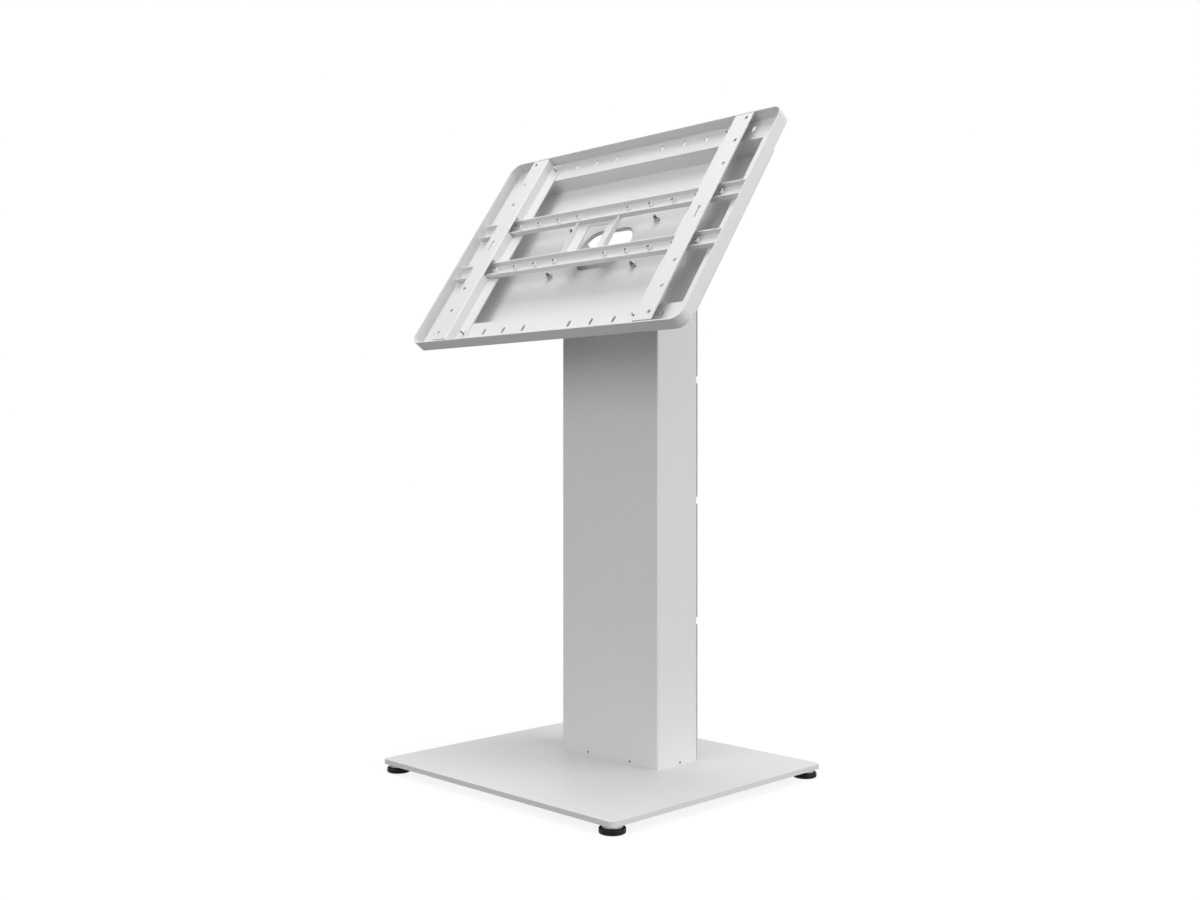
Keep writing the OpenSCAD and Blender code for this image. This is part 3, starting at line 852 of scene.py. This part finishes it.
class KIOSK_OT_rail_nuts(bpy.types.Operator):
    """Cuts the shoulders, bevels and threads of the twenty pressed rail nuts"""

    bl_idname = "kiosk.rail_nuts"
    bl_label = "Rail nuts"

    def execute(self, context):
        pitch = context.scene.kiosk_threads.screw_pitch
        for rail in ("upper", "lower"):
            node = "rail_" + rail + "_nuts"
            nuts = sorted(measured_solids(node, HEAD_AXES), key=lambda nut: nut.middle[0])
            for count, nut in enumerate(nuts, 1):
                name = f"rail_{rail}_nut_{count:02d}"
                piece = turned_piece(name, nut, rail_nut_path(nut, pitch), closed=True)
                fit_piece(piece, node, "stand", coat(context))
        return {"FINISHED"}


class KIOSK_OT_foot_studs(bpy.types.Operator):
    """Cuts the threads of the four levelling studs"""

    bl_idname = "kiosk.foot_studs"
    bl_label = "Levelling studs"

    def execute(self, context):
        pitch = context.scene.kiosk_threads.stud_pitch
        for place in FOOT_PLACES:
            node = "foot_stud_" + place
            stud = measured_solids(node, UPRIGHT_AXES)[0]
            piece = turned_piece("levelling_stud_" + place, stud, stud_path(stud, pitch))
            fit_piece(piece, node, "foot_" + place, zinc(context))
        return {"FINISHED"}


def floor_material(studio):
    """A dull floor that is seen as white. Near the stand a part of the white is a matt surface
    under the lamps, which leaves the shadow faintly in it, and further out the floor glows.
    Right under the column, where only the cable hole shows it, it doesn't glow at all."""
    material, tree, bsdf = shader("studio_floor")
    nodes = tree.nodes
    links = tree.links
    bsdf.inputs["Base Color"].default_value = (*studio.floor_colour, 1.0)
    bsdf.inputs["Roughness"].default_value = FLOOR_ROUGHNESS
    matt = nodes.new("ShaderNodeBsdfDiffuse")
    matt.inputs["Color"].default_value = MATT_WHITE
    glow = nodes.new("ShaderNodeEmission")
    glow.inputs["Color"].default_value = WHITE
    glow.inputs["Strength"].default_value = FLOOR_GLOW
    reach = nodes.new("ShaderNodeVectorMath")
    reach.operation = "LENGTH"
    links.new(nodes.new("ShaderNodeTexCoord").outputs["Object"], reach.inputs[0])
    shadow_end = faded(tree, reach.outputs["Value"], SHADOW_FADE, 1.0 - studio.shadow_share)
    hole_end = faded(tree, reach.outputs["Value"], HOLE_FADE, 0.0)
    share = calculated(tree, "MULTIPLY", shadow_end, hole_end)
    white = mixed(tree, share, matt.outputs["BSDF"], glow.outputs["Emission"])
    surface = mixed(tree, seen_directly(tree), bsdf.outputs["BSDF"], white)
    links.new(surface, nodes["Material Output"].inputs["Surface"])
    return material


def lay_floor(studio):
    """A square floor."""
    signs = np.array([[-1, -1, 0], [1, -1, 0], [1, 1, 0], [-1, 1, 0]])
    floor = plain_mesh("studio_floor", FLOOR_HALF * signs, [[0, 1, 2, 3]])
    floor.location.z = FLOOR_LEVEL
    floor.data.materials.append(floor_material(studio))


def light_the_world(scene, strength):
    """Even light of the given strength, white where it is seen past the floor."""
    world = bpy.data.worlds.new("studio")
    scene.world = world
    world.use_nodes = True
    tree = world.node_tree
    tree.nodes.clear()
    out = tree.nodes.new("ShaderNodeOutputWorld")
    sky = tree.nodes.new("ShaderNodeBackground")
    sky.inputs["Color"].default_value = WHITE
    sky.inputs["Strength"].default_value = strength
    white = tree.nodes.new("ShaderNodeBackground")
    white.inputs["Color"].default_value = WHITE
    surface = mixed(tree, seen_directly(tree), sky.outputs["Background"],
                    white.outputs["Background"])
    tree.links.new(surface, out.inputs["Surface"])


def hang_lamp(scene, name, place, aim, width, power):
    """A round area lamp that looks at a point."""
    light = bpy.data.lights.new(name, "AREA")
    light.shape = "DISK"
    light.size = width
    light.energy = power
    lamp = bpy.data.objects.new(name, light)
    lamp.location = place
    lamp.rotation_euler = (Vector(aim) - Vector(place)).to_track_quat("-Z", "Y").to_euler()
    scene.collection.objects.link(lamp)


def set_camera(scene, lens):
    """The photograph's camera, level and with everything in focus."""
    data = bpy.data.cameras.new("camera")
    data.sensor_fit = "HORIZONTAL"
    data.sensor_width = SENSOR_WIDTH
    data.lens = lens
    data.dof.use_dof = False
    camera = bpy.data.objects.new("camera", data)
    camera.location = CAMERA_PLACE
    camera.rotation_euler = (math.pi / 2, 0.0, CAMERA_HEADING)
    scene.collection.objects.link(camera)
    scene.camera = camera


class KIOSK_OT_stage(bpy.types.Operator):
    """Lays the pale floor, hangs the soft lamps and sets up the camera of the photograph"""

    bl_idname = "kiosk.stage"
    bl_label = "Floor, light and camera"

    def execute(self, context):
        scene = context.scene
        studio = scene.kiosk_studio
        lay_floor(studio)
        light_the_world(scene, studio.sky_strength)
        for setting, place, aim, width in LAMPS:
            name = "lamp_" + setting.removesuffix("_power")
            hang_lamp(scene, name, place, aim, width, getattr(studio, setting))
        set_camera(scene, studio.lens)
        scene.view_settings.view_transform = "Standard"
        return {"FINISHED"}


SETTINGS = {
    "kiosk_finishes": KioskFinishes,
    "kiosk_threads": KioskThreads,
    "kiosk_studio": KioskStudio,
}
OPERATORS = (
    KIOSK_OT_coat, KIOSK_OT_plating, KIOSK_OT_blackening, KIOSK_OT_feet, KIOSK_OT_head_bolts,
    KIOSK_OT_head_washers, KIOSK_OT_head_nuts, KIOSK_OT_adapter_screws, KIOSK_OT_rail_nuts,
    KIOSK_OT_foot_studs, KIOSK_OT_stage,
)


class KIOSK_PT_panel(bpy.types.Panel):
    """Lists the settings and the steps that dress the stand"""

    bl_idname = "KIOSK_PT_panel"
    bl_label = "Kiosk stand"
    bl_space_type = "VIEW_3D"
    bl_region_type = "UI"
    bl_category = "Kiosk stand"

    def draw(self, context):
        layout = self.layout
        for group_name, group in SETTINGS.items():
            box = layout.box()
            for name in group.__annotations__:
                box.prop(getattr(context.scene, group_name), name)
        for step in OPERATORS:
            layout.operator(step.bl_idname)


CLASSES = (*SETTINGS.values(), *OPERATORS, KIOSK_PT_panel)


def register():
    for cls in CLASSES:
        bpy.utils.register_class(cls)
    for group_name, group in SETTINGS.items():
        setattr(bpy.types.Scene, group_name, bpy.props.PointerProperty(type=group))


def unregister():
    for group_name in SETTINGS:
        delattr(bpy.types.Scene, group_name)
    for cls in reversed(CLASSES):
        bpy.utils.unregister_class(cls)


def main():
    register()
    bpy.ops.kiosk.coat()
    bpy.ops.kiosk.plating()
    bpy.ops.kiosk.blackening()
    bpy.ops.kiosk.feet()
    bpy.ops.kiosk.head_bolts()
    bpy.ops.kiosk.head_washers()
    bpy.ops.kiosk.head_nuts()
    bpy.ops.kiosk.adapter_screws()
    bpy.ops.kiosk.rail_nuts()
    bpy.ops.kiosk.foot_studs()
    bpy.ops.kiosk.stage()


if __name__ == "__main__":
    main()
